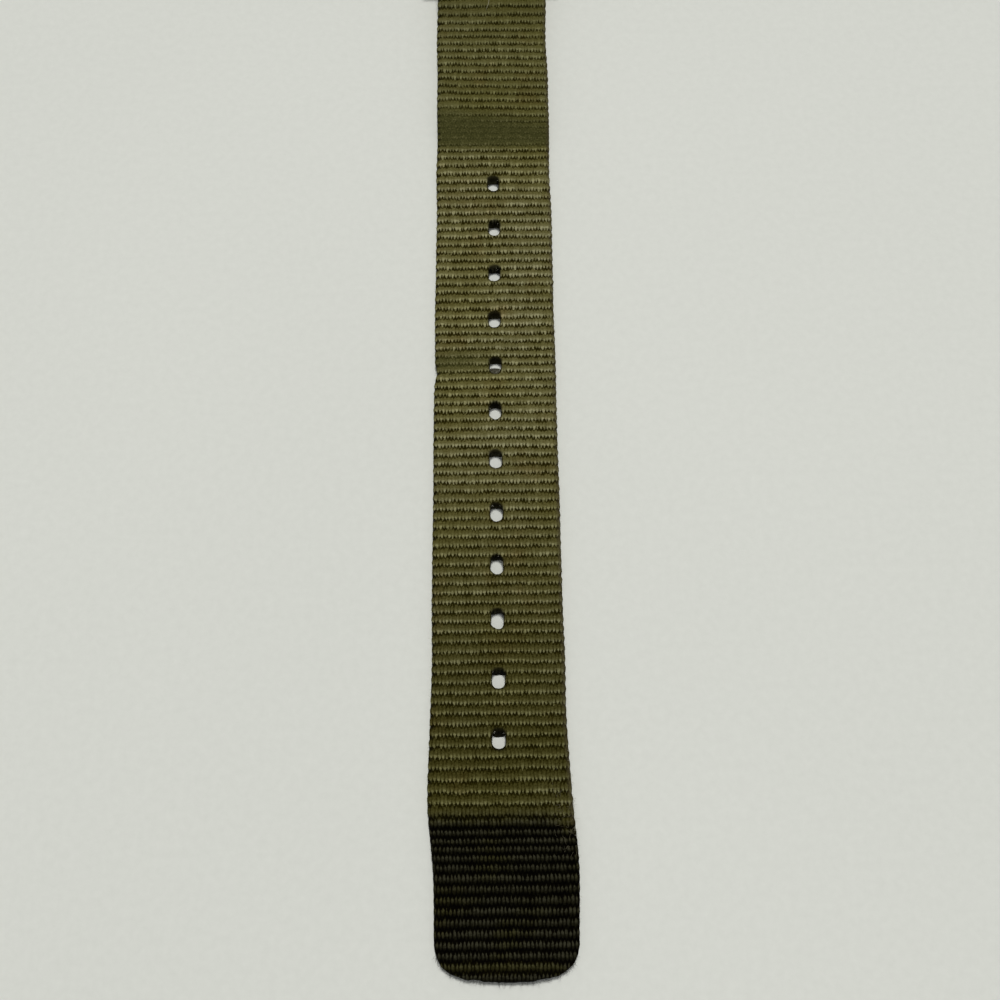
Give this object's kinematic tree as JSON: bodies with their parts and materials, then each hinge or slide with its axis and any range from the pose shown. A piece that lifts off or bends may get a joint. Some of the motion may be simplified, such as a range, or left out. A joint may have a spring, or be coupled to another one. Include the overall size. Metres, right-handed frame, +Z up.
{
  "type": "wristwatch",
  "caption": "Self-winding wristwatch in a round steel case on an olive ribbed nylon two-piece strap with a pin buckle, laid out flat.",
  "frame": {"origin": "Centre of the case back's outer face, which lies on the table.", "axes": "+Z up through the dial, +Y to 12 o'clock along the strap, +X to the crown at 3 o'clock."},
  "size_m": [0.0402, 0.2823, 0.0112],
  "materials": {
    "steel_case": "bead-blasted and brushed",
    "crystal": "clear",
    "gasket": "matte",
    "dial_black": "matte",
    "lume": "matte",
    "date_white": "matte",
    "resin": "matte",
    "plate": "rhodium grey, striped",
    "brass": "gilt",
    "ruby": "polished",
    "blued": "blued",
    "steel": "polished",
    "spring": "blued",
    "nylon": "ribbed olive webbing"
  },
  "bodies": {
    "case": {"case_middle": "steel_case", "bezel": "steel_case", "crystal": "crystal", "case_gaskets": "gasket", "chapter_ring": "dial_black", "dial": "dial_black", "hour_markers": "lume", "case_back": "steel_case", "back_window": "crystal", "crown_tube": "steel", "movement_ring": "resin", "main_plate": "plate", "barrel_bridge": "plate", "train_bridge": "plate", "pallet_bridge": "plate", "balance_cock": "plate", "jewels": "ruby", "bridge_screws": "blued", "rotor_bearing": "steel", "hairspring": "spring", "top_bar_tube": "steel", "tail_bar_tube": "steel"},
    "minute_arbor": {"centre_wheel": "brass", "cannon_pinion": "steel", "minute_hand": "steel"},
    "hour_sleeve": {"hour_wheel": "brass", "hour_hand": "steel"},
    "minute_wheel": {"minute_wheel": "brass"},
    "seconds_arbor": {"fourth_wheel": "brass", "seconds_hand": "steel"},
    "third_wheel": {"third_wheel": "brass"},
    "escape_wheel": {"escape_wheel": "steel"},
    "barrel": {"mainspring_barrel": "brass", "mainspring": "spring"},
    "winding_arbor": {"barrel_arbor": "steel", "ratchet_wheel": "steel"},
    "date_ring": {"date_ring": "date_white"},
    "pallet_lever": {"pallet_fork": "steel", "pallet_stones": "ruby"},
    "balance": {"balance_wheel": "brass"},
    "rotor": {"rotor": "steel_case"},
    "reversing_wheel": {"reversing_wheel": "brass"},
    "crown_seal": {"crown_gasket": "gasket"},
    "crown_and_stem": {"crown": "steel_case", "winding_stem": "steel"},
    "stem_pinions": {"winding_pinion": "steel", "sliding_pinion": "steel"},
    "top_left_pin": {"top_bar_left_pin": "steel"},
    "top_right_pin": {"top_bar_right_pin": "steel"},
    "tail_left_pin": {"tail_bar_left_pin": "steel"},
    "tail_right_pin": {"tail_bar_right_pin": "steel"},
    "tail_strap": {"strap_tail": "nylon"},
    "buckle_strap": {"strap_buckle_side": "nylon", "fixed_keeper": "nylon"},
    "free_keeper": {"free_keeper": "nylon"},
    "buckle": {"buckle_frame": "steel_case", "buckle_bar": "steel"},
    "tongue": {"buckle_tongue": "steel_case"}
  },
  "joints": [
    {"name": "minute_hand_turn", "type": "hinge", "parent": "case", "child": "minute_arbor", "pos_m": [0, 0, 0.00435], "axis": [0, 0, 1], "continuous": true},
    {"name": "hour_hand_turn", "type": "hinge", "parent": "case", "child": "hour_sleeve", "pos_m": [0, 0, 0.00435], "axis": [0, 0, 1], "continuous": true},
    {"name": "minute_wheel_turn", "type": "hinge", "parent": "case", "child": "minute_wheel", "pos_m": [-0.00271, 0.00098, 0.00435], "axis": [0, 0, 1], "continuous": true},
    {"name": "seconds_hand_turn", "type": "hinge", "parent": "case", "child": "seconds_arbor", "pos_m": [0, 0, 0.00435], "axis": [0, 0, 1], "continuous": true},
    {"name": "third_wheel_turn", "type": "hinge", "parent": "case", "child": "third_wheel", "pos_m": [0.00225, -0.0039, 0.00435], "axis": [0, 0, 1], "continuous": true},
    {"name": "escape_wheel_turn", "type": "hinge", "parent": "case", "child": "escape_wheel", "pos_m": [-0.00362, -0.00253, 0.00435], "axis": [0, 0, 1], "continuous": true},
    {"name": "barrel_turn", "type": "hinge", "parent": "case", "child": "barrel", "pos_m": [0.00168, 0.00626, 0.00435], "axis": [0, 0, 1], "continuous": true},
    {"name": "date_ring_turn", "type": "hinge", "parent": "case", "child": "date_ring", "pos_m": [0, 0, 0.00435], "axis": [0, 0, 1], "continuous": true},
    {"name": "pallet_swing", "type": "hinge", "parent": "case", "child": "pallet_lever", "pos_m": [-0.00553, -0.00387, 0.00435], "axis": [0, 0, 1], "range_deg": [-5, 5]},
    {"name": "balance_swing", "type": "hinge", "parent": "case", "child": "balance", "pos_m": [-0.00783, -0.00548, 0.00435], "axis": [0, 0, 1], "range_deg": [-390, 150]},
    {"name": "rotor_turn", "type": "hinge", "parent": "case", "child": "rotor", "pos_m": [0, 0, 0.00145], "axis": [0, 0, 1], "continuous": true},
    {"name": "reversing_wheel_turn", "type": "hinge", "parent": "case", "child": "reversing_wheel", "pos_m": [0.00235, 0.00272, 0.0025], "axis": [0, 0, 1], "continuous": true},
    {"name": "winding_arbor_turn", "type": "hinge", "parent": "case", "child": "winding_arbor", "pos_m": [0.00168, 0.00626, 0.0025], "axis": [0, 0, 1], "continuous": true},
    {"name": "crown_pull", "type": "slide", "parent": "case", "child": "crown_seal", "axis": [1, 0, 0], "range_m": [0, 0.0012]},
    {"name": "crown_turn", "type": "hinge", "parent": "crown_seal", "child": "crown_and_stem", "pos_m": [0.01875, 0, 0.00606], "axis": [1, 0, 0], "continuous": true},
    {"name": "stem_pinion_turn", "type": "hinge", "parent": "case", "child": "stem_pinions", "pos_m": [0.01875, 0, 0.00606], "axis": [1, 0, 0], "continuous": true},
    {"name": "tail_strap_swing", "type": "hinge", "parent": "case", "child": "tail_strap", "pos_m": [0, -0.0201, 0.0036], "axis": [1, 0, 0], "range_deg": [-40, 85]},
    {"name": "buckle_strap_swing", "type": "hinge", "parent": "case", "child": "buckle_strap", "pos_m": [0, 0.0201, 0.0036], "axis": [-1, 0, 0], "range_deg": [-40, 85]},
    {"name": "free_keeper_slide", "type": "slide", "parent": "buckle_strap", "child": "free_keeper", "axis": [0, 1, 0], "range_m": [-0.024, 0.013]},
    {"name": "buckle_swing", "type": "hinge", "parent": "buckle_strap", "child": "buckle", "pos_m": [0, 0.098, 0.00245], "axis": [1, 0, 0], "range_deg": [-50, 50]},
    {"name": "tongue_swing", "type": "hinge", "parent": "buckle", "child": "tongue", "pos_m": [0, 0.098, 0.00245], "axis": [1, 0, 0], "range_deg": [0, 75]},
    {"name": "top_left_pin_press", "type": "slide", "parent": "case", "child": "top_left_pin", "axis": [1, 0, 0], "range_m": [0, 0.00115], "stiffness_N_per_m": 200},
    {"name": "top_right_pin_press", "type": "slide", "parent": "case", "child": "top_right_pin", "axis": [-1, 0, 0], "range_m": [0, 0.00115], "stiffness_N_per_m": 200},
    {"name": "tail_left_pin_press", "type": "slide", "parent": "case", "child": "tail_left_pin", "axis": [1, 0, 0], "range_m": [0, 0.00115], "stiffness_N_per_m": 200},
    {"name": "tail_right_pin_press", "type": "slide", "parent": "case", "child": "tail_right_pin", "axis": [-1, 0, 0], "range_m": [0, 0.00115], "stiffness_N_per_m": 200}
  ],
  "couplings": [
    {"joint": "hour_hand_turn", "follows": "minute_hand_turn", "ratio": 0.083333},
    {"joint": "minute_wheel_turn", "follows": "minute_hand_turn", "ratio": -0.33333},
    {"joint": "barrel_turn", "follows": "minute_hand_turn", "ratio": -0.14286},
    {"joint": "third_wheel_turn", "follows": "minute_hand_turn", "ratio": -8},
    {"joint": "seconds_hand_turn", "follows": "minute_hand_turn", "ratio": 60},
    {"joint": "escape_wheel_turn", "follows": "minute_hand_turn", "ratio": -720},
    {"joint": "reversing_wheel_turn", "follows": "rotor_turn", "ratio": -0.8},
    {"joint": "winding_arbor_turn", "follows": "rotor_turn", "ratio": 0.12903},
    {"joint": "stem_pinion_turn", "follows": "crown_turn", "ratio": 1}
  ]
}
